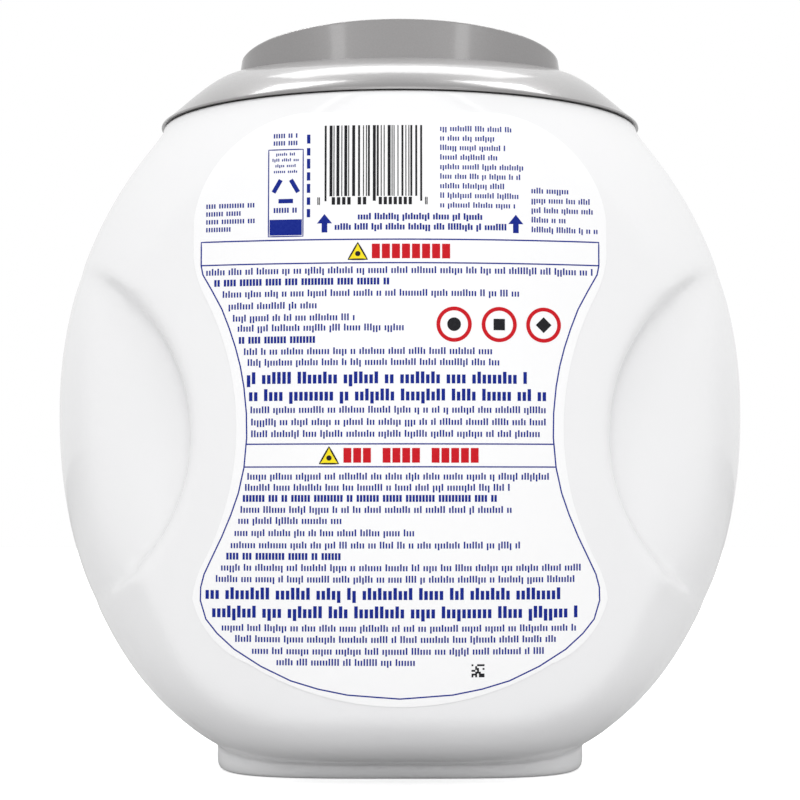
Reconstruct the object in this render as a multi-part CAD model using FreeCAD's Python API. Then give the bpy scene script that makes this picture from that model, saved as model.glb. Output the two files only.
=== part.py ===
import FreeCAD, Part
import math
import os

# A laundry pod tub: a round-shouldered hollow tub with a grip at each side and a twist-off lid.
# Millimetres. The origin is on the surface the tub stands on, under its middle, and +Z is up.
# -Y is the side with the directions label, +Y the side with the display label.
# The tub is one moulded shell: foot ring, belly with two thumb hollows at each side, neck.
# The lid is a shell over a plain closure cap, and a sealing disc lies between cap and neck.

Vec = FreeCAD.Vector

# ---- belly of the tub ---------------------------------------------------------------------
BODY_WIDTH = 198.0            # left to right across the widest place
BODY_DEPTH = 144.5            # front panel to back panel
BELLY_Z = 103.0               # height of the widest place
SHOULDER_Z = 185.0            # flat shoulder below the lid's rim
SHOULDER_RADIUS = 69.6        # round collar under the lid's rim
SHOULDER_BLEND = 120.0        # more makes a crisper line where the collar leaves the belly
SHOULDER_ROUND = 0.6
WALL = 1.5
OUTLINE_REACH_UP = 110.0      # from the belly up to where the round outline would close
OUTLINE_POWER_UP = 2.05       # 2 is an ellipse, more is squarer
OUTLINE_REACH_DOWN = 108.5
OUTLINE_POWER_DOWN = 2.2
FLANK_DEPTH = 84.5            # half-depth of the round flanks before the panels flatten them
FLANK_REACH_UP = 117.0
FLANK_POWER_UP = 2.6
FLANK_REACH_DOWN = 100.3
FLANK_POWER_DOWN = 4.0
FLANK_PLAN_POWER = 2.2        # squareness of the flanks seen from above
SHOULDER_PLAN_POWER = 2.0
FOOT_PLAN_POWER = 3.0
PANEL_PLAN_RADIUS = 187.0     # bow of the front and back panels, seen from above
PANEL_SIDE_RADIUS = 1400.0    # and seen from the side
PANEL_CREASE = 220.0          # more makes a crisper line where a panel meets the flank

# ---- foot ring ----------------------------------------------------------------------------
FOOT_HALF_WIDTH = 52.6
FOOT_HALF_DEPTH = 39.5
FOOT_HEIGHT = 4.2
FOOT_POWER = 3.4
FOOT_ROUND = 2.0
FOOT_RING_WIDTH = 7.0
PUSH_UP_Z = 5.4               # underside of the tub's floor inside the foot ring
PUSH_UP_DRAFT = 3.0

# ---- grips --------------------------------------------------------------------------------
GRIP_RADIUS = 49.7            # each hollow's inner edge is an arc seen from the front
GRIP_CENTRE_X = 105.7
GRIP_CENTRE_Z = 94.0
GRIP_DEPTH = 16.0             # how far the hollow's floor is drawn in at mid height
GRIP_FADE = 0.40              # how fast the floor comes back out above and below
GRIP_SPREAD = 40.0            # makes the floor flatter than the flank at mid height
GRIP_SPREAD_FADE = 2.0
GRIP_CLEAR = 2.4              # how far the floor passes outside the tub at both ends
GRIP_ROUNDING = 60.0          # more makes a crisper lip round the hollow
GRIP_VALLEY = 260.0           # and a crisper line at its bottom

# ---- neck ---------------------------------------------------------------------------------
NECK_RADIUS = 50.0
NECK_WALL = 1.8
NECK_HEIGHT = 5.0
NECK_LUG_COUNT = 4
NECK_LUG_OUT = 0.8
NECK_LUG_HEIGHT = 1.4
NECK_LUG_ANGLE = 24.0
NECK_LUG_DROP = 0.8           # lug top below the neck's rim

# ---- lid shell ----------------------------------------------------------------------------
LID_RADIUS = 70.2
LID_WALL = 1.6
LID_GAP = 0.3                 # rim above the shoulder
RIM_HEIGHT = 0.5              # upright edge at the rim
CREST_Z = 201.9
CREST_HALF_WIDTH = 49.1
CREST_HALF_DEPTH = 27.4
FLANGE_SIDE_POWERS = (0.8, 0.68)      # rise and close: nearly straight down to the sides
FLANGE_FRONT_POWERS = (1.45, 0.75)    # and bulging in front and behind
HANDLE_HALF_WIDTH = 47.7
HANDLE_HALF_DEPTH = 26.0
HANDLE_RISE = 12.7            # top of the handle above the crest
ARCH_SPRING = 2.4             # the arched top springs from this far above the crest
ARCH_HALF_WIDTH = 47.9
HANDLE_DRAFT_IN = 3.6         # the long walls lean in by this over the full rise
HANDLE_FOOT_DROP = 2.4        # the handle is rooted this far below the crest
HANDLE_EDGE_ROUND = 0.9

# ---- closure cap and seal -----------------------------------------------------------------
CAP_CLEARANCE = 0.8           # beside the neck's lugs
CAP_WALL = 1.2
CAP_SKIRT_GAP = 1.0           # skirt above the shoulder
SEAL_GAP = 0.3                # below and above the sealing disc
SEAL_THICK = 0.5
STAY_CLEARANCE = 0.7          # the ring that carries the cap stands outside the handle's hollow

# ---- labels -------------------------------------------------------------------------------
FILM = 0.3
LABEL_TOP_Z = 179.2
LABEL_TOP_HALF = 26.0         # half length of the straight top edge
LABEL_SHOULDER = (45.8, 170.0)
LABEL_UPPER_HALF = 55.0       # widest half-width, above the waist and again below it
LABEL_UPPER_Z = (151.0, 141.0)
LABEL_NOTCH = (52.3, 131.5)
LABEL_WAIST_HALF = 43.2
LABEL_WAIST_Z = 93.5
LABEL_LOWER_NOTCH = (52.3, 59.5)
LABEL_LOWER_Z = 50.5
LABEL_LOWER_ROUND = (50.3, 41.0)
LABEL_BASE_SIDE = (39.9, 33.6)
LABEL_BASE_Z = 22.6


def outline(half, reach, power, rise):
    """Half-size of a rounded outline at a rise above or below its widest place."""
    return half * max(1.0 - (abs(rise) / reach) ** power, 0.0) ** (1.0 / power)


def half_width(z):
    if z > BELLY_Z:
        return outline(BODY_WIDTH / 2, OUTLINE_REACH_UP, OUTLINE_POWER_UP, z - BELLY_Z)
    return outline(BODY_WIDTH / 2, OUTLINE_REACH_DOWN, OUTLINE_POWER_DOWN, z - BELLY_Z)


def flank_half_depth(z):
    if z > BELLY_Z:
        return outline(FLANK_DEPTH, FLANK_REACH_UP, FLANK_POWER_UP, z - BELLY_Z)
    return outline(FLANK_DEPTH, FLANK_REACH_DOWN, FLANK_POWER_DOWN, z - BELLY_Z)


def panel_half_depth(z):
    sag = PANEL_SIDE_RADIUS - math.sqrt(PANEL_SIDE_RADIUS ** 2 - (z - BELLY_Z) ** 2)
    return BODY_DEPTH / 2 - sag


def ease(low, high, share):
    """Smooth change from low to high as share goes from 0 to 1."""
    s = min(max(share, 0.0), 1.0)
    return low + (high - low) * s * s * (3 - 2 * s)


def plan_power(z):
    if z > BELLY_Z:
        return ease(FLANK_PLAN_POWER, SHOULDER_PLAN_POWER, (z - BELLY_Z) / (SHOULDER_Z - BELLY_Z))
    return ease(FOOT_PLAN_POWER, FLANK_PLAN_POWER, z / (BELLY_Z / 2))


def nearer(a, b, crispness):
    """The smaller of two distances, with a rounded change from one to the other."""
    m = min(a, b)
    return m * ((a / m) ** -crispness + (b / m) ** -crispness) ** (-1.0 / crispness)


def farther(a, b, crispness):
    m = max(a, b)
    return m * ((a / m) ** crispness + (b / m) ** crispness) ** (1.0 / crispness)


def oval_reach(half_x, half_y, power, c, s):
    """Distance from the middle to a squared oval, in the direction (c, s)."""
    return (abs(c / half_x) ** power + abs(s / half_y) ** power) ** (-1.0 / power)


def panel_reach(half_y, c, s):
    """Distance from the middle to the bowed panel, in the direction (c, s)."""
    q = half_y - PANEL_PLAN_RADIUS
    return abs(s) * q + math.sqrt(PANEL_PLAN_RADIUS ** 2 - (q * c) ** 2)


def belly_reach(z, c, s):
    """The tub without grips: round flanks, flattened in front and behind by the panels, and
    never narrower than the lid's seat above the belly."""
    flank = oval_reach(half_width(z), flank_half_depth(z), plan_power(z), c, s)
    reach = nearer(flank, panel_reach(panel_half_depth(z), c, s), PANEL_CREASE)
    return farther(reach, SHOULDER_RADIUS, SHOULDER_BLEND) if z > BELLY_Z else reach


def grip_floor_reach(z, c, s):
    """The floor of the grips; above and below them it passes outside the tub."""
    fade = max(1 - ((z - GRIP_CENTRE_Z) / GRIP_RADIUS) ** 2, 0.0)
    share = fade ** GRIP_FADE
    half_x = half_width(z) + GRIP_SPREAD * fade ** GRIP_SPREAD_FADE + GRIP_CLEAR
    half_y = (1 - share) * (flank_half_depth(z) + GRIP_CLEAR)
    half_y += share * (panel_half_depth(z) - GRIP_DEPTH)
    return oval_reach(half_x, half_y, FLANK_PLAN_POWER, c, s)


def tub_reach(z, inset, c, s):
    """Distance from the middle to the tub's side, grips included, drawn in by inset."""
    r = belly_reach(z, c, s)
    across = GRIP_RADIUS ** 2 - (z - GRIP_CENTRE_Z) ** 2
    if across > 0 and abs(c) > 0.2:
        edge = (GRIP_CENTRE_X - math.sqrt(across)) / abs(c)
        r = nearer(r, farther(grip_floor_reach(z, c, s), edge, GRIP_VALLEY), GRIP_ROUNDING)
    return r - inset


def foot_reach(z, c, s):
    """The foot ring's outer face, with a rounded lower edge."""
    up = FOOT_ROUND - min(z, FOOT_ROUND)
    tuck = FOOT_ROUND - math.sqrt(FOOT_ROUND ** 2 - up ** 2)
    return oval_reach(FOOT_HALF_WIDTH, FOOT_HALF_DEPTH, FOOT_POWER, c, s) - tuck


def outer_reach(z, c, s):
    if z <= FOOT_HEIGHT:
        return foot_reach(z, c, s)
    up = SHOULDER_ROUND - min(SHOULDER_Z - z, SHOULDER_ROUND)
    tuck = SHOULDER_ROUND - math.sqrt(SHOULDER_ROUND ** 2 - up ** 2)
    return max(tub_reach(z, tuck, c, s), foot_reach(z, c, s))


def ring_points(reach, z, count, gather=0.0):
    """Points round one level; reach gives their distance from the middle by direction.
    gather crowds them towards the corners, where the grips' edges lie."""
    points = []
    for i in range(count):
        turn = 2 * math.pi * i / count
        turn += gather * math.sin(4 * turn)
        c, s = math.cos(turn), math.sin(turn)
        r = reach(z, c, s)
        points.append(Vec(r * c, r * s, z))
    return points


def skinned(reach, levels, count, gather=0.0):
    """A solid with one smooth side surface drawn over points at the levels, and flat ends."""
    rows = [ring_points(reach, z, count, gather) for z in levels]
    spans = len(levels) - 3
    side = Part.BSplineSurface()
    side.buildFromPolesMultsKnots(rows, [4] + [1] * (spans - 1) + [4], [1] * (count + 1),
                                  range(spans + 1), range(count + 1), False, True, 3, 3)
    side_face = side.toShape()
    faces = [side_face]
    for edge in side_face.Edges:
        if edge.BoundBox.ZLength < 0.01:
            faces.append(Part.Face(Part.Wire([edge])))
    shell = Part.makeShell(faces)
    shell.sewShape()
    solid = Part.makeSolid(shell)
    if solid.Volume < 0:
        solid.reverse()
    return solid


def between(low, high, step):
    """Evenly spaced values from low up to but not including high, about step apart."""
    n = max(int(round((high - low) / step)), 1)
    return [low + (high - low) * i / n for i in range(n)]


def tube(outer_radius, inner_radius, low, high):
    ring = Part.makeCylinder(outer_radius, high - low, Vec(0, 0, low))
    return ring.cut(Part.makeCylinder(inner_radius, high - low, Vec(0, 0, low)))


# Levels crowd together where the side turns fast: at the foot, the grips' ends and the shoulder.
FOOT_LEVELS = [0, 0.25, 0.8, 2.0, 3.2, FOOT_HEIGHT, 4.9, 5.8]
GRIP_LOW, GRIP_HIGH = GRIP_CENTRE_Z - GRIP_RADIUS, GRIP_CENTRE_Z + GRIP_RADIUS
SIDE_LEVELS = between(7, 13, 2.0) + between(13, GRIP_LOW, 4.5)
SIDE_LEVELS += between(GRIP_LOW, GRIP_LOW + 11, 1.8) + between(GRIP_LOW + 11, GRIP_HIGH - 11, 4.0)
SIDE_LEVELS += between(GRIP_HIGH - 11, GRIP_HIGH, 1.8) + between(GRIP_HIGH, 180, 5.0) + [180, 183]
EDGE_LEVELS = [184.2, 184.7, SHOULDER_Z]
POINTS_ROUND = 160
GATHER = 0.15

# ---- tub body -----------------------------------------------------------------------------
outer = skinned(outer_reach, FOOT_LEVELS + SIDE_LEVELS + EDGE_LEVELS, POINTS_ROUND, GATHER)
floor_z = PUSH_UP_Z + WALL
roof_z = SHOULDER_Z - WALL
inside_levels = [floor_z] + [z for z in SIDE_LEVELS if floor_z + 1 < z < roof_z - 1] + [roof_z]
inside = skinned(lambda z, c, s: tub_reach(z, WALL, c, s), inside_levels, POINTS_ROUND, GATHER)


def push_up_reach(z, c, s):
    tuck = FOOT_RING_WIDTH + PUSH_UP_DRAFT * max(z, 0) / PUSH_UP_Z
    return oval_reach(FOOT_HALF_WIDTH - tuck, FOOT_HALF_DEPTH - tuck, FOOT_POWER, c, s)


push_up = skinned(push_up_reach, [-1, 0, PUSH_UP_Z / 2, PUSH_UP_Z], 64)
neck_top = SHOULDER_Z + NECK_HEIGHT
tub = outer.fuse(tube(NECK_RADIUS, NECK_RADIUS - NECK_WALL, SHOULDER_Z, neck_top))
for i in range(NECK_LUG_COUNT):
    low = neck_top - NECK_LUG_DROP - NECK_LUG_HEIGHT
    lug = tube(NECK_RADIUS + NECK_LUG_OUT, NECK_RADIUS - NECK_WALL / 2, low, low + NECK_LUG_HEIGHT)
    wedge = Part.makeCylinder(NECK_RADIUS * 1.2, NECK_HEIGHT, Vec(0, 0, low), Vec(0, 0, 1), NECK_LUG_ANGLE)
    lug = lug.common(wedge)
    lug.rotate(Vec(0, 0, 0), Vec(0, 0, 1), 45 - NECK_LUG_ANGLE / 2 + 360 / NECK_LUG_COUNT * i)
    tub = tub.fuse(lug)
mouth = Part.makeCylinder(NECK_RADIUS - NECK_WALL, NECK_HEIGHT + 3 * WALL, Vec(0, 0, roof_z - WALL))
tub = tub.cut(inside).cut(mouth).cut(push_up)

# ---- labels -------------------------------------------------------------------------------
proud = skinned(lambda z, c, s: outer_reach(z, c, s) + FILM,
                FOOT_LEVELS + SIDE_LEVELS + EDGE_LEVELS, POINTS_ROUND, GATHER)


def label_outline(y):
    """The film's edge seen from the front: straight top, waist between the grips, round base."""
    def at(x, z):
        return Vec(x, y, z)

    def side(m):
        """The right-hand edge for m = 1, from the top down; the left-hand one for m = -1."""
        upper_top, upper_low = LABEL_UPPER_Z
        half = LABEL_UPPER_HALF
        return [
            Part.Arc(at(m * LABEL_TOP_HALF, LABEL_TOP_Z), at(m * LABEL_SHOULDER[0], LABEL_SHOULDER[1]),
                     at(m * half, upper_top)).toShape(),
            Part.makeLine(at(m * half, upper_top), at(m * half, upper_low)),
            Part.Arc(at(m * half, upper_low), at(m * (half - 0.9), (upper_low + LABEL_NOTCH[1]) / 2),
                     at(m * LABEL_NOTCH[0], LABEL_NOTCH[1])).toShape(),
            Part.Arc(at(m * LABEL_NOTCH[0], LABEL_NOTCH[1]), at(m * LABEL_WAIST_HALF, LABEL_WAIST_Z),
                     at(m * LABEL_LOWER_NOTCH[0], LABEL_LOWER_NOTCH[1])).toShape(),
            Part.Arc(at(m * LABEL_LOWER_NOTCH[0], LABEL_LOWER_NOTCH[1]),
                     at(m * (half - 0.9), (LABEL_LOWER_Z + LABEL_LOWER_NOTCH[1]) / 2),
                     at(m * half, LABEL_LOWER_Z)).toShape(),
            Part.Arc(at(m * half, LABEL_LOWER_Z), at(m * LABEL_LOWER_ROUND[0], LABEL_LOWER_ROUND[1]),
                     at(m * LABEL_BASE_SIDE[0], LABEL_BASE_SIDE[1])).toShape(),
        ]
    top = Part.makeLine(at(-LABEL_TOP_HALF, LABEL_TOP_Z), at(LABEL_TOP_HALF, LABEL_TOP_Z))
    base = Part.Arc(at(-LABEL_BASE_SIDE[0], LABEL_BASE_SIDE[1]), at(0, LABEL_BASE_Z),
                    at(LABEL_BASE_SIDE[0], LABEL_BASE_SIDE[1])).toShape()
    edges = Part.sortEdges(side(1) + side(-1) + [top, base])[0]
    return Part.Wire(edges)


def label(facing):
    """The film on the panel facing -Y (facing = -1) or +Y (facing = 1)."""
    block = Part.Face(label_outline(0)).extrude(Vec(0, facing * BODY_DEPTH, 0))
    return proud.common(block).cut(outer)


# ---- lid shell ----------------------------------------------------------------------------
RIM_Z = SHOULDER_Z + LID_GAP


def flange_reach(z, c, s):
    """From the round rim up and in to the oval crest that the handle stands on."""
    up = min(max((z - RIM_Z - RIM_HEIGHT) / (CREST_Z - RIM_Z - RIM_HEIGHT), 0.0), 1.0)

    def half(crest, powers):
        return crest + (LID_RADIUS - crest) * (1 - up ** powers[0]) ** powers[1]
    half_x = half(CREST_HALF_WIDTH, FLANGE_SIDE_POWERS)
    return oval_reach(half_x, half(CREST_HALF_DEPTH, FLANGE_FRONT_POWERS), 2.0, c, s)


def handle_reach(z, c, s):
    lean = HANDLE_DRAFT_IN * (z - CREST_Z) / HANDLE_RISE
    return oval_reach(HANDLE_HALF_WIDTH - lean * 0.5, HANDLE_HALF_DEPTH - lean, 2.0, c, s)


def arch(inset):
    """A bar front to back whose section is a half ellipse: the curved top of the handle."""
    spring_z = CREST_Z + ARCH_SPRING
    rise = HANDLE_RISE - ARCH_SPRING - inset
    half = ARCH_HALF_WIDTH - inset
    y = HANDLE_HALF_DEPTH * 2
    curve = Part.Ellipse(Vec(half, -y, spring_z), Vec(0, -y, spring_z + rise), Vec(0, -y, spring_z))
    half_oval = Part.Arc(curve, 0, math.pi).toShape()
    ends = [v.Point for v in half_oval.Vertexes]
    root = HANDLE_FOOT_DROP + inset * 3
    low = [Vec(p.x, p.y, CREST_Z - root) for p in ends]
    wire = Part.Wire([half_oval, Part.makeLine(ends[1], low[1]), Part.makeLine(low[1], low[0]),
                      Part.makeLine(low[0], ends[0])])
    return Part.Face(wire).extrude(Vec(0, 2 * y, 0))


def handle(inset):
    low = CREST_Z - HANDLE_FOOT_DROP - inset * 3
    high = CREST_Z + HANDLE_RISE + 1
    oval = skinned(lambda z, c, s: handle_reach(z, c, s) - inset,
                   [low, low + (high - low) / 3, high - (high - low) / 3, high], 64)
    return oval.common(arch(inset))


def flange(inset):
    low, high = RIM_Z, CREST_Z - inset
    levels = [low, low + RIM_HEIGHT * 0.5, low + RIM_HEIGHT]
    for share in [0.05, 0.08, 0.12, 0.2, 0.3, 0.4, 0.5, 0.6, 0.7, 0.78, 0.85, 0.9, 0.94, 0.97, 0.99, 1.0]:
        levels.append(low + (high - low) * share)
    return skinned(lambda z, c, s: flange_reach(z + inset, c, s) - inset * 0.5, levels, 96)


grip_bar = handle(0)
top_edges = [e for e in grip_bar.Edges if e.BoundBox.ZMax > CREST_Z + HANDLE_RISE * 0.9
             and e.BoundBox.YLength > HANDLE_HALF_DEPTH]
grip_bar = grip_bar.makeFillet(HANDLE_EDGE_ROUND, top_edges)
lid_inside = flange(LID_WALL).fuse(handle(LID_WALL))
lid = flange(0).fuse(grip_bar).cut(lid_inside)

# ---- closure cap and seal -----------------------------------------------------------------
seal_z = neck_top + SEAL_GAP
plate_z = seal_z + SEAL_THICK + SEAL_GAP
plate_top = plate_z + CAP_WALL
skirt_inside = NECK_RADIUS + NECK_LUG_OUT + CAP_CLEARANCE
seal = Part.makeCylinder(skirt_inside - CAP_CLEARANCE, SEAL_THICK, Vec(0, 0, seal_z))
cap = Part.makeCylinder(skirt_inside + CAP_WALL, CAP_WALL, Vec(0, 0, plate_z))
cap = cap.fuse(tube(skirt_inside + CAP_WALL, skirt_inside, SHOULDER_Z + CAP_SKIRT_GAP, plate_z))
stay_radius = HANDLE_HALF_WIDTH - LID_WALL + STAY_CLEARANCE
stay = tube(stay_radius + CAP_WALL, stay_radius, plate_top, CREST_Z + HANDLE_RISE).common(lid_inside)
cap = cap.fuse(stay)

os.makedirs("parts", exist_ok=True)
nodes = {
    "tub_body": tub,
    "back_label": label(-1),
    "front_label": label(1),
    "lid_shell": lid,
    "closure_cap": cap,
    "seal_disc": seal,
}
for name, shape in nodes.items():
    print(name, shape.isValid(), len(shape.Solids), round(shape.Volume, 1), shape.BoundBox)
    shape.exportStep("parts/" + name + ".step")
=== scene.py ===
import bmesh
import bpy
import math
import random
from mathutils import Matrix, Vector


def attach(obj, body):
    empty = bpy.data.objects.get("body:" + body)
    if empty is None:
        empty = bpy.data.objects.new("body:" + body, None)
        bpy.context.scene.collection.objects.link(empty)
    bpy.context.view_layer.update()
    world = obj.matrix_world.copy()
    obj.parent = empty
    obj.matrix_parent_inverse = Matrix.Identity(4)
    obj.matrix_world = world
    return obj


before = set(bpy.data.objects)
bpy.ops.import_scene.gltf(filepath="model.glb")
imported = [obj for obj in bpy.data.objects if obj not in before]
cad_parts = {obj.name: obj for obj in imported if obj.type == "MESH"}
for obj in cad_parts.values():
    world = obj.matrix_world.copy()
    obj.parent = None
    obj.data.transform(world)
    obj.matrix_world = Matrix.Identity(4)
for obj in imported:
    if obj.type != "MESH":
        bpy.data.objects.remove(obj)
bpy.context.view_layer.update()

# ---- camera, floor and light --------------------------------------------------------------
# The tub stands on a pale sweep in soft light from both sides and above.
EYE_DISTANCE = 0.651
EYE_HEIGHT = 0.076
AIM_HEIGHT = 0.1061
LENS = 99.6                   # millimetres, on a frame as wide as FRAME_WIDTH
FRAME_WIDTH = 36.0


def facing(place, target):
    """The turn that points a camera or a lamp standing at place towards target."""
    return (Vector(target) - Vector(place)).to_track_quat("-Z", "Y").to_euler()


camera_data = bpy.data.cameras.new("camera")
camera_data.sensor_width = FRAME_WIDTH
camera_data.lens = LENS
camera = bpy.data.objects.new("camera", camera_data)
bpy.context.scene.collection.objects.link(camera)
camera.location = (0.0, -EYE_DISTANCE, EYE_HEIGHT)
camera.rotation_euler = facing(camera.location, (0, 0, AIM_HEIGHT))
bpy.context.scene.camera = camera

WHITE = (1, 1, 1, 1)
FLOOR_HALF = 3.0
FLOOR_BOUNCE = (0.6, 0.6, 0.6, 1)        # the shade that sends light back up to the tub
FLOOR_SEEN = (0.95, 0.95, 0.95, 1)       # the shade it shows
FLOOR_GLOW = 0.6                         # what is added to the shade it shows
FLOOR_ROUGHNESS = 0.6
bpy.ops.object.select_all(action="DESELECT")
bpy.ops.mesh.primitive_plane_add(size=2 * FLOOR_HALF, location=(0, 0, 0))
floor = bpy.context.object
floor.name = "floor"
floor_paint = bpy.data.materials.new("pale_sweep")
floor_paint.use_nodes = True
floor_tree = floor_paint.node_tree
paint = floor_tree.nodes["Principled BSDF"]
paint.inputs["Roughness"].default_value = FLOOR_ROUGHNESS
paint.inputs["Emission Color"].default_value = WHITE
floor_path = floor_tree.nodes.new("ShaderNodeLightPath")
floor_tone = floor_tree.nodes.new("ShaderNodeMix")
floor_tone.data_type = "RGBA"
floor_tone.inputs["A"].default_value = FLOOR_BOUNCE
floor_tone.inputs["B"].default_value = FLOOR_SEEN
floor_tree.links.new(floor_path.outputs["Is Camera Ray"], floor_tone.inputs["Factor"])
floor_tree.links.new(floor_tone.outputs["Result"], paint.inputs["Base Color"])
floor_lift = floor_tree.nodes.new("ShaderNodeMath")
floor_lift.operation = "MULTIPLY"
floor_lift.inputs[1].default_value = FLOOR_GLOW
floor_tree.links.new(floor_path.outputs["Is Camera Ray"], floor_lift.inputs[0])
floor_tree.links.new(floor_lift.outputs["Value"], paint.inputs["Emission Strength"])
floor.data.materials.append(floor_paint)

# The sweep behind is seen white, and lights the tub less than it shows.
SKY_LIGHT = 0.88
world = bpy.data.worlds.new("studio")
world.use_nodes = True
sky = world.node_tree
sky_glow = sky.nodes["Background"]
sky_glow.inputs["Color"].default_value = WHITE
sky_glow.inputs["Strength"].default_value = SKY_LIGHT
sky_seen = sky.nodes.new("ShaderNodeBackground")
sky_seen.inputs["Color"].default_value = WHITE
sky_path = sky.nodes.new("ShaderNodeLightPath")
sky_mix = sky.nodes.new("ShaderNodeMixShader")
sky.links.new(sky_path.outputs["Is Camera Ray"], sky_mix.inputs["Fac"])
sky.links.new(sky_glow.outputs["Background"], sky_mix.inputs[1])
sky.links.new(sky_seen.outputs["Background"], sky_mix.inputs[2])
sky.links.new(sky_mix.outputs["Shader"], sky.nodes["World Output"].inputs["Surface"])
bpy.context.scene.world = world
bpy.context.scene.view_settings.view_transform = "Standard"


def soft_box(name, place, target, size, watts):
    """A lamp box at place that faces target; size is its width and height."""
    lamp = bpy.data.lights.new(name, "AREA")
    lamp.shape = "RECTANGLE"
    lamp.size, lamp.size_y = size
    lamp.energy = watts
    lamp_object = bpy.data.objects.new(name, lamp)
    bpy.context.scene.collection.objects.link(lamp_object)
    lamp_object.location = place
    lamp_object.rotation_euler = facing(place, target)


MIDDLE = (0, 0, 0.11)
LID_FRONT = (0, -0.05, 0.19)
STRIP_SIZE, STRIP_WATTS = (0.12, 0.4), 0.42
BACK_SIZE, BACK_WATTS = (0.34, 0.3), 1.8
soft_box("front_fill", (0, -2.4, 0.75), MIDDLE, (1.5, 1.9), 14.0)
soft_box("left_strip", (-0.47, -0.80, 1.0), LID_FRONT, STRIP_SIZE, STRIP_WATTS)
soft_box("right_strip", (0.47, -0.80, 1.0), LID_FRONT, STRIP_SIZE, STRIP_WATTS)
soft_box("left_back", (-0.36, 0.34, 1.04), LID_FRONT, BACK_SIZE, BACK_WATTS)
soft_box("right_back", (0.36, 0.34, 1.04), LID_FRONT, BACK_SIZE, BACK_WATTS)
soft_box("back_light", (0, 0.80, 0.95), LID_FRONT, (0.5, 0.26), 0.8)

# ---- tub ----------------------------------------------------------------------------------
# The tub is one blow-moulded shell of glossy white plastic, a little uneven as moulded walls
# are: the wall waves slightly and its gloss and shade wander a little from place to place.
WAVE_DEPTH = 0.001            # how far a wave of full strength stands out, in metres
PATCH_DETAIL, WAVE_DETAIL = 4.0, 2.0


def moulded_surface():
    """Node group: a shade and a gloss that wander between two values over a waved surface."""
    group = bpy.data.node_groups.new("moulded_surface", "ShaderNodeTree")
    for name, kind in (("Light Shade", "Color"), ("Dark Shade", "Color"),
                       ("Roughness Low", "Float"), ("Roughness High", "Float"),
                       ("Patch Scale", "Float"), ("Wave Scale", "Float"),
                       ("Wave Strength", "Float")):
        group.interface.new_socket(name, in_out="INPUT", socket_type="NodeSocket" + kind)
    for name, kind in (("Colour", "Color"), ("Roughness", "Float"), ("Normal", "Vector")):
        group.interface.new_socket(name, in_out="OUTPUT", socket_type="NodeSocket" + kind)
    given = group.nodes.new("NodeGroupInput")
    made = group.nodes.new("NodeGroupOutput")
    place = group.nodes.new("ShaderNodeTexCoord")
    patches = group.nodes.new("ShaderNodeTexNoise")
    patches.inputs["Detail"].default_value = PATCH_DETAIL
    shade = group.nodes.new("ShaderNodeMix")
    shade.data_type = "RGBA"
    gloss = group.nodes.new("ShaderNodeMix")
    waves = group.nodes.new("ShaderNodeTexNoise")
    waves.inputs["Detail"].default_value = WAVE_DETAIL
    bump = group.nodes.new("ShaderNodeBump")
    bump.inputs["Distance"].default_value = WAVE_DEPTH
    link = group.links.new
    link(place.outputs["Object"], patches.inputs["Vector"])
    link(given.outputs["Patch Scale"], patches.inputs["Scale"])
    link(patches.outputs["Fac"], shade.inputs["Factor"])
    link(given.outputs["Light Shade"], shade.inputs["A"])
    link(given.outputs["Dark Shade"], shade.inputs["B"])
    link(shade.outputs["Result"], made.inputs["Colour"])
    link(patches.outputs["Fac"], gloss.inputs["Factor"])
    link(given.outputs["Roughness Low"], gloss.inputs["A"])
    link(given.outputs["Roughness High"], gloss.inputs["B"])
    link(gloss.outputs["Result"], made.inputs["Roughness"])
    link(place.outputs["Object"], waves.inputs["Vector"])
    link(given.outputs["Wave Scale"], waves.inputs["Scale"])
    link(given.outputs["Wave Strength"], bump.inputs["Strength"])
    link(waves.outputs["Fac"], bump.inputs["Height"])
    link(bump.outputs["Normal"], made.inputs["Normal"])
    return group


surface_group = moulded_surface()


def plastic(name, light, dark, rough, patch_scale, wave_scale, wave, finish=()):
    """A material on the shared group. light and dark are its shades, rough its lowest and
    highest roughness, and finish any further sockets of the shader, as (name, value)."""
    material = bpy.data.materials.new(name)
    material.use_nodes = True
    tree = material.node_tree
    shader = tree.nodes["Principled BSDF"]
    for socket, value in finish:
        shader.inputs[socket].default_value = value
    surface = tree.nodes.new("ShaderNodeGroup")
    surface.node_tree = surface_group
    for socket, value in (("Light Shade", (*light, 1)), ("Dark Shade", (*dark, 1)),
                          ("Roughness Low", rough[0]), ("Roughness High", rough[1]),
                          ("Patch Scale", patch_scale), ("Wave Scale", wave_scale),
                          ("Wave Strength", wave)):
        surface.inputs[socket].default_value = value
    tree.links.new(surface.outputs["Colour"], shader.inputs["Base Color"])
    tree.links.new(surface.outputs["Roughness"], shader.inputs["Roughness"])
    tree.links.new(surface.outputs["Normal"], shader.inputs["Normal"])
    return material


def finish_node(node, material):
    """Gives a piece of the tub its material in every slot."""
    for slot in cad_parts[node].material_slots:
        slot.material = material


TUB_LIGHT, TUB_DARK = (0.9, 0.9, 0.905), (0.87, 0.87, 0.88)
tub_white = plastic("tub_plastic", TUB_LIGHT, TUB_DARK, rough=(0.24, 0.36), patch_scale=9.0,
                    wave_scale=25.0, wave=0.1,
                    finish=[("Coat Weight", 0.5), ("Coat Roughness", 0.06)])
finish_node("tub_body", tub_white)

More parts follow.
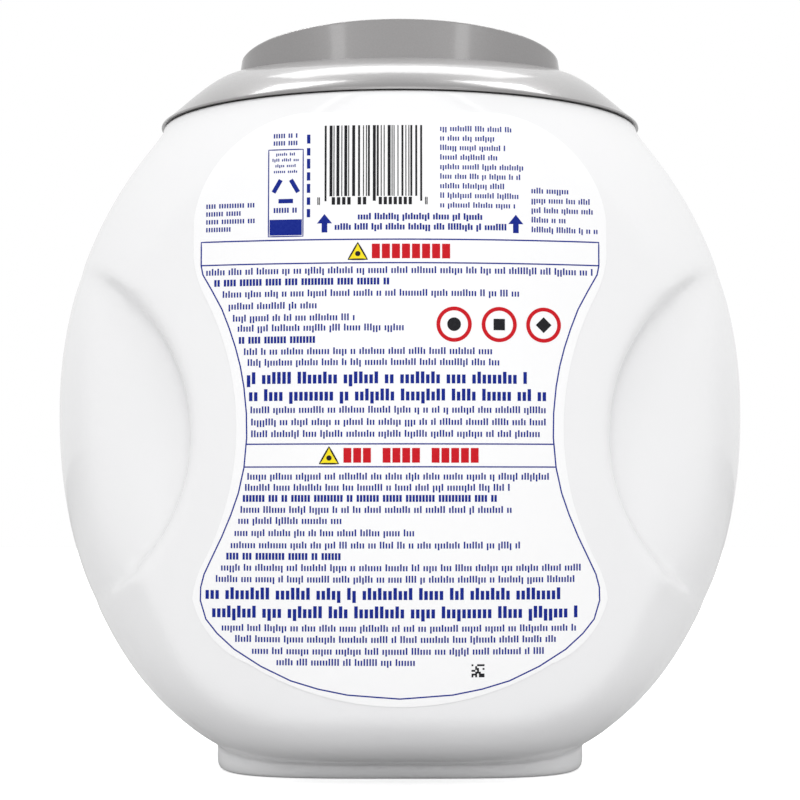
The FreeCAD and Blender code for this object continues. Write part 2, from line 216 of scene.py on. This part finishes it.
# ---- lid ----------------------------------------------------------------------------------
# The lid is one moulding of silver-grey plastic: fine metallic flakes lie under a glossy skin.
# It is carried on the white cap inside it, and lifts off with it.
LID_LIGHT, LID_DARK = (0.30, 0.293, 0.293), (0.25, 0.243, 0.243)
FLAKE_SCALE = 2600.0
lid_silver = plastic("lid_plastic", LID_LIGHT, LID_DARK, rough=(0.3, 0.42), patch_scale=FLAKE_SCALE,
                     wave_scale=30.0, wave=0.06,
                     finish=[("Metallic", 0.4), ("Coat Weight", 0.8), ("Coat Roughness", 0.1)])
finish_node("lid_shell", lid_silver)

# ---- closure ------------------------------------------------------------------------------
# Inside the lid a plain moulded cap of satin white plastic closes the neck. A thin disc cut
# from off-white foam lies between the two and makes the seal.
CAP_LIGHT, CAP_DARK = (0.82, 0.82, 0.82), (0.76, 0.76, 0.76)
cap_white = plastic("cap_plastic", CAP_LIGHT, CAP_DARK, rough=(0.42, 0.6), patch_scale=40.0,
                    wave_scale=60.0, wave=0.1)
finish_node("closure_cap", cap_white)
FOAM_LIGHT, FOAM_DARK = (0.8, 0.8, 0.77), (0.68, 0.68, 0.64)
seal_white = plastic("seal_foam", FOAM_LIGHT, FOAM_DARK, rough=(0.65, 0.85), patch_scale=900.0,
                     wave_scale=1200.0, wave=0.5)
finish_node("seal_disc", seal_white)

# ---- labels -------------------------------------------------------------------------------
# A label of satin white film is stuck to each of the two broad panels, its sides cut in to
# follow the grips.
FILM_LIGHT, FILM_DARK = (0.975, 0.975, 0.98), (0.96, 0.96, 0.965)
film_white = plastic("label_film", FILM_LIGHT, FILM_DARK, rough=(0.3, 0.42), patch_scale=30.0,
                     wave_scale=70.0, wave=0.04)
finish_node("back_label", film_white)
finish_node("front_label", film_white)

# ---- print on the directions label --------------------------------------------------------
# The film is printed in four inks. The artwork is drawn flat in front of the panel, laid on
# to the film along Y and given the thickness of an ink layer. Rows of small blocks stand for
# rows of fine print. Sizes in this section are in millimetres.
MM = 0.001
ARTWORK_Y = -85.0             # the plane that the artwork is drawn in
INK_PROUD = 0.03
INK_THICK = 0.10
OVERPRINT = 1.6               # red and black lie this many times as proud, over blue and yellow
CELL = 1.5                    # longest straight piece, so that the artwork follows the panel
chance = random.Random(7)
artwork = {"blue": [], "red": [], "yellow": [], "black": []}


def flat_sheet(ink, left, low, right, high, columns, rows):
    """A grid of faces that looks towards -Y; returns its object with its mesh in place."""
    bpy.ops.object.select_all(action="DESELECT")
    bpy.ops.mesh.primitive_grid_add(x_subdivisions=columns, y_subdivisions=rows, size=1)
    sheet = bpy.context.object
    stand = Matrix.Rotation(math.pi / 2, 4, "X")
    size = Matrix.Diagonal((right - left, 1, high - low, 1))
    place = Matrix.Translation(((left + right) / 2, ARTWORK_Y, (low + high) / 2))
    sheet.data.transform(place @ size @ stand)
    artwork[ink].append(sheet)
    return sheet


def bar(ink, left, low, right, high):
    """A solid rectangle, divided finely enough to follow the panel."""
    columns = max(1, math.ceil((right - left) / CELL))
    rows = max(1, math.ceil((high - low) / CELL))
    return flat_sheet(ink, left, low, right, high, columns, rows)


def remove_faces(sheet, unwanted):
    """Deletes the faces of a sheet for which unwanted is true."""
    shape = bmesh.new()
    shape.from_mesh(sheet.data)
    bmesh.ops.delete(shape, geom=[f for f in shape.faces if unwanted(f)], context="FACES")
    shape.to_mesh(sheet.data)
    shape.free()


WORD_BLOCKS = (2, 10)         # fewest and most blocks in a word
RISING = 0.3                  # share of the blocks that reach higher
FALLING = 0.08                # share that reach lower


def print_row(ink, z, left, right, tall, block, gap, capitals=False):
    """One row of print: small blocks in word-long groups, about a middle height z. tall is
    the height of a plain block; some reach a third higher or lower, and capitals all rise."""
    pitch = block + gap
    count = max(2, round((right - left) / pitch))
    pitch = (right - left) / count
    share = block / (block + gap)
    low, third = z - tall * 0.5, tall / 3
    sheet = flat_sheet(ink, left, low - third, right, low + tall + third, 2 * count, 3)
    lines = [low - third, low, low + tall, low + tall + third]
    for v in sheet.data.vertices:
        column = round((v.co.x - left) / pitch * 2)
        v.co.x = left + (column // 2 + (share if column % 2 else 0.0)) * pitch
        v.co.z = lines[min(3, round((v.co.z - lines[0]) / (lines[3] - lines[0]) * 3))]
    kinds, word = [], chance.randint(2, 9)
    for i in range(count):
        word -= 1
        blank = word < 0 and 0 < i < count - 1
        if blank:
            word = chance.randint(*WORD_BLOCKS)
        draw = chance.random()
        if blank:
            kinds.append("blank")
        elif capitals or draw < RISING:
            kinds.append("high")
        else:
            kinds.append("deep" if draw < RISING + FALLING else "low")

    def unwanted(face):
        middle = face.calc_center_median()
        i = min(count - 1, int((middle.x - left) / pitch))
        if (middle.x - left) / pitch - i > share or kinds[i] == "blank":
            return True
        if middle.z > lines[2]:
            return kinds[i] != "high"
        return middle.z < lines[1] and kinds[i] != "deep"
    remove_faces(sheet, unwanted)


def ribbon(ink, points, width, closed=False):
    """A line of even width through (x, z) points, mitred at its corners."""
    fine = []
    ends = points[1:] + points[:1] if closed else points[1:]
    for (x0, z0), (x1, z1) in zip(points, ends):
        steps = max(1, math.ceil(math.hypot(x1 - x0, z1 - z0) / CELL))
        fine += [(x0 + (x1 - x0) * i / steps, z0 + (z1 - z0) * i / steps) for i in range(steps)]
    if not closed:
        fine.append(points[-1])
    count = len(fine)
    verts = []
    for i, (x, z) in enumerate(fine):
        x0, z0 = fine[i - 1] if closed or i else fine[0]
        x1, z1 = fine[(i + 1) % count] if closed or i < count - 1 else fine[-1]
        along = Vector((x1 - x0, z1 - z0)).normalized()
        verts += [(x - along.y * width / 2, ARTWORK_Y, z + along.x * width / 2),
                  (x + along.y * width / 2, ARTWORK_Y, z - along.x * width / 2)]
    faces = [(2 * i + 1, 2 * ((i + 1) % count) + 1, 2 * ((i + 1) % count), 2 * i)
             for i in range(count if closed else count - 1)]
    add_flat(ink, verts, faces)


def patch(ink, points):
    """A small solid shape with its corners at (x, z) points, counted anticlockwise."""
    add_flat(ink, [(x, ARTWORK_Y, z) for x, z in points], [tuple(range(len(points)))])


def add_flat(ink, verts, faces):
    """Adds a flat mesh to the artwork of an ink."""
    mesh = bpy.data.meshes.new("artwork")
    mesh.from_pydata(verts, [], faces)
    shape = bpy.data.objects.new("artwork", mesh)
    bpy.context.scene.collection.objects.link(shape)
    artwork[ink].append(shape)


def round_points(x, z, radius, count):
    """Points evenly round a circle, anticlockwise from its right-hand end."""
    return [(x + radius * math.cos(2 * math.pi * i / count),
             z + radius * math.sin(2 * math.pi * i / count)) for i in range(count)]


# The blue frame round the two notices: its left side from the top down, mirrored on the right.
FRAME_SIDE = [(-52.9, 145.1), (-52.9, 138.8), (-52.4, 136.4), (-49.8, 131.9), (-47.2, 127.1),
              (-45.2, 122.0), (-43.5, 116.9), (-42.2, 112.0), (-41.2, 106.5), (-40.5, 99.5),
              (-40.4, 93.0), (-41.1, 85.2), (-42.6, 78.4), (-44.6, 72.7), (-47.0, 67.0),
              (-49.9, 61.0), (-51.8, 57.0), (-52.7, 53.6), (-52.8, 50.1), (-51.3, 45.2),
              (-48.3, 41.5), (-43.7, 37.4), (-36.6, 33.0), (-28.7, 29.3), (-21.5, 27.2),
              (-13.8, 25.7), (0.0, 24.7)]
FRAME_LINE = 0.36
RULE = 0.35
frame_outline = FRAME_SIDE + [(-x, z) for x, z in reversed(FRAME_SIDE[:-1])]
ribbon("blue", frame_outline, FRAME_LINE, closed=True)
for z, half in ((138.7, 52.8), (91.1, 40.4), (85.1, 41.0)):
    bar("blue", -half, z, half, z + RULE)

# Sizes of print, as (height of a plain block, width of a block, gap after it), and the rows
# inside the frame, as (middle height, left end, right end).
BODY_PRINT = (1.35, 0.42, 0.34)
BOLD_PRINT = (1.35, 0.62, 0.24)
LARGE_PRINT = (2.35, 0.92, 0.42)
BODY_ROWS = [(136.8, -51.5, 51.5), (130.8, -47.0, 31.7), (127.6, -45.4, -21.6), (124.4, -44.2, -11.6),
             (121.7, -42.9, 1.3), (115.5, -41.2, 24.5), (112.6, -40.2, 26.4),
             (100.1, -39.4, 38.7), (96.9, -39.2, 38.7), (93.8, -39.2, 37.1),
             (82.6, -40.2, 39.5), (79.7, -40.8, 29.1), (73.9, -42.0, 29.6), (71.0, -42.6, -15.0),
             (67.8, -43.6, 4.0), (64.6, -44.6, 31.8), (58.7, -47.2, 48.0), (55.7, -48.6, 46.3),
             (42.9, -47.0, 46.7), (40.0, -43.4, 41.3), (36.9, -38.9, 38.1), (34.0, -32.4, 4.2)]
BOLD_ROWS = [(133.8, -49.3, -2.6), (118.5, -42.6, -22.1), (76.8, -41.4, 25.6), (61.6, -45.8, -15.3)]
LARGE_ROWS = [(108.3, -40.4, 33.8), (103.8, -39.8, 38.9), (51.7, -51.4, 42.6), (46.9, -49.6, 47.2)]
for z, left, right in BODY_ROWS:
    print_row("blue", z, left, right, *BODY_PRINT)
for z, left, right in BOLD_ROWS:
    print_row("blue", z, left, right, *BOLD_PRINT, capitals=True)
for z, left, right in LARGE_ROWS:
    print_row("blue", z, left, right, *LARGE_PRINT)

# Above the frame: three blocks of small print, each from its top row down, and two centred
# rows between arrows.
UPPER_PRINT = (1.1, 0.36, 0.3)
for i, right in enumerate([29.8, 25.2, 28.1, 26.0, 32.9, 32.1, 27.8, 31.6, 30.7]):
    print_row("blue", 174.5 - 2.55 * i, 10.6, right, *UPPER_PRINT)
RIGHT_PRINT = (1.15, 0.38, 0.3)
for i, right in enumerate([45.0, 50.8, 51.6, 44.2, 52.9]):
    print_row("blue", 158.3 - 2.6 * i, 34.8, right, *RIGHT_PRINT)
LEFT_PRINT = (0.9, 0.4, 0.3)
for i, right in enumerate([-38.3, -42.0, -38.2, -44.7]):
    print_row("blue", 154.5 - 2.1 * i, -51.6, right, *LEFT_PRINT, capitals=True)
CENTRE_PRINT = (1.3, 0.5, 0.24)
print_row("blue", 151.0, -11.1, 21.9, *CENTRE_PRINT)
print_row("blue", 148.3, -17.2, 28.3, *CENTRE_PRINT)
ARROW_FOOT, ARROW_NECK, ARROW_TIP = 147.0, 149.4, 151.9
for x in (-19.9, 30.6):
    patch("blue", [(x - 2.0, ARROW_NECK), (x + 2.0, ARROW_NECK), (x, ARROW_TIP)])
    bar("blue", x - 0.75, ARROW_FOOT, x + 0.75, ARROW_NECK)

# The sorting mark: a framed panel with a solid foot and a loop of three strokes, with two
# rows of capitals over it.
MARK_X = -30.2
MARK_LOW, MARK_HIGH, MARK_HALF = 146.1, 169.3, 4.6
MARK_CAPITALS, MARK_PRINT, FOOT_CAPITALS = (0.9, 0.4, 0.28), (0.6, 0.3, 0.22), (1.0, 0.42, 0.26)
LOOP_Z, LOOP_RADIUS, LOOP_STROKE = 158.2, 3.3, 1.15
LOOP_GAP = 0.42               # from a corner of the loop to the end of a stroke, in radians
for z in (172.9, 170.9):
    print_row("blue", z, MARK_X - 3.3, MARK_X + 3.3, *MARK_CAPITALS, capitals=True)
ribbon("blue", [(MARK_X - MARK_HALF, MARK_LOW), (MARK_X + MARK_HALF, MARK_LOW),
                (MARK_X + MARK_HALF, MARK_HIGH), (MARK_X - MARK_HALF, MARK_HIGH)], 0.3, closed=True)
for i, half in enumerate((2.6, 3.6, 2.8, 3.2)):
    print_row("blue", 168.0 - 1.55 * i, MARK_X - half, MARK_X + half, *MARK_PRINT)
bar("blue", MARK_X - 4.3, 146.4, MARK_X + 4.3, 150.6)
print_row("blue", 152.9, MARK_X - 3.2, MARK_X + 3.2, *FOOT_CAPITALS, capitals=True)
for i in range(3):
    start, stop = math.radians(90 + 120 * i) + LOOP_GAP, math.radians(210 + 120 * i) - LOOP_GAP
    ribbon("blue", [(MARK_X + LOOP_RADIUS * math.cos(turn), LOOP_Z + LOOP_RADIUS * math.sin(turn))
                    for turn in (start, stop)], LOOP_STROKE)

# A column of print on its side, as (middle height, half length) of each upright block.
for z, half in ((172.0, 1.2), (168.6, 1.0), (165.4, 1.3), (162.0, 1.1), (158.8, 1.2), (155.4, 1.0),
                (152.2, 1.1)):
    bar("blue", -24.6, z - half, -23.7, z + half)

# The bar code: upright bars of chance widths that encode nothing, with longer guards at the
# ends and middle, over rows of blocks.
CODE_LEFT, CODE_RIGHT = -19.9, 5.5
CODE_FOOT, GUARD_FOOT, CODE_TOP = 156.6, 155.3, 175.5
CODE_WIDTHS = (0.26, 0.26, 0.52, 0.78)
CODE_DIGITS = (1.5, 0.9, 0.5)
x = CODE_LEFT
while x < CODE_RIGHT:
    width = chance.choice(CODE_WIDTHS)
    guard = x < -19.0 or x > 4.7 or abs(x + 7.0) < 0.6
    bar("black", x, GUARD_FOOT if guard else CODE_FOOT, x + width, CODE_TOP)
    x += width + chance.choice(CODE_WIDTHS)
for left, right in ((-21.8, -21.0), (-18.0, -8.4), (-5.6, 3.6), (6.6, 7.4)):
    print_row("black", 155.1, left, right, *CODE_DIGITS, capitals=True)

# Each notice is headed by a yellow triangle, with a dark edge and a dark disc in it, and a
# red row of blocks.
HEADING_PRINT = (2.9, 2.05, 0.5)
for z, left, right, sign in ((141.9, -7.4, 13.7, -11.1), (88.2, -14.8, 21.1, -18.6)):
    print_row("red", z - 0.4, left, right, *HEADING_PRINT, capitals=True)
    corners = [(sign - 2.5, z - 2.1), (sign + 2.5, z - 2.1), (sign, z + 2.3)]
    patch("yellow", corners)
    ribbon("black", corners, 0.42, closed=True)
    patch("black", round_points(sign, z - 0.6, 0.7, 16))

# Three red rings, round a plain dark disc, square and diamond.
RING_Z, RING_RADIUS, RING_LINE = 122.7, 4.15, 1.0
DISC_X, SQUARE_X, DIAMOND_X = 14.2, 26.1, 37.9
SQUARE_HALF = 1.5
for x in (DISC_X, SQUARE_X, DIAMOND_X):
    ribbon("red", round_points(x, RING_Z, RING_RADIUS, 48), RING_LINE, closed=True)
patch("black", round_points(DISC_X, RING_Z, 1.8, 24))
bar("black", SQUARE_X - SQUARE_HALF, RING_Z - SQUARE_HALF, SQUARE_X + SQUARE_HALF, RING_Z + SQUARE_HALF)
patch("black", round_points(DIAMOND_X, RING_Z, 2.1, 4))

# The small square mark at the foot: a coarse pattern of cells.
CODE_CELLS = 7
CODE_BLANK = 0.42             # share of the cells left blank
code = flat_sheet("black", 18.7, 30.3, 22.1, 33.7, CODE_CELLS, CODE_CELLS)
remove_faces(code, lambda face: chance.random() < CODE_BLANK)

# Each ink as its shade where it lies thick and where it lies thin.
INKS = {"blue": ((0.003, 0.012, 0.22), (0.02, 0.04, 0.3)),
        "red": ((0.55, 0.008, 0.015), (0.66, 0.02, 0.03)),
        "yellow": ((0.95, 0.75, 0.0), (0.98, 0.82, 0.05)),
        "black": ((0.01, 0.01, 0.012), (0.03, 0.03, 0.035))}
for ink, (thick, thin) in INKS.items():
    bpy.ops.object.select_all(action="DESELECT")
    for shape in artwork[ink]:
        shape.select_set(True)
    bpy.context.view_layer.objects.active = artwork[ink][0]
    bpy.ops.object.join()
    printed = bpy.context.object
    printed.name = "print_" + ink
    printed.data.transform(Matrix.Diagonal((MM, MM, MM, 1)))
    lay = printed.modifiers.new("lay_on", "SHRINKWRAP")
    lay.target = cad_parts["back_label"]
    lay.wrap_method = "PROJECT"
    lay.use_project_y = True
    lay.use_positive_direction = True
    lay.use_negative_direction = False
    lay.offset = INK_PROUD * MM * (OVERPRINT if ink in ("black", "red") else 1.0)
    layer = printed.modifiers.new("layer", "SOLIDIFY")
    layer.thickness = INK_THICK * MM
    layer.offset = -1
    for modifier in ("lay_on", "layer"):
        bpy.ops.object.modifier_apply(modifier=modifier)
    material = plastic("ink_" + ink, thick, thin, rough=(0.45, 0.6), patch_scale=1500.0,
                       wave_scale=60.0, wave=0.0, finish=[("Specular IOR Level", 0.05)])
    printed.data.materials.clear()
    printed.data.materials.append(material)
    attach(printed, "tub")

bpy.context.view_layer.update()
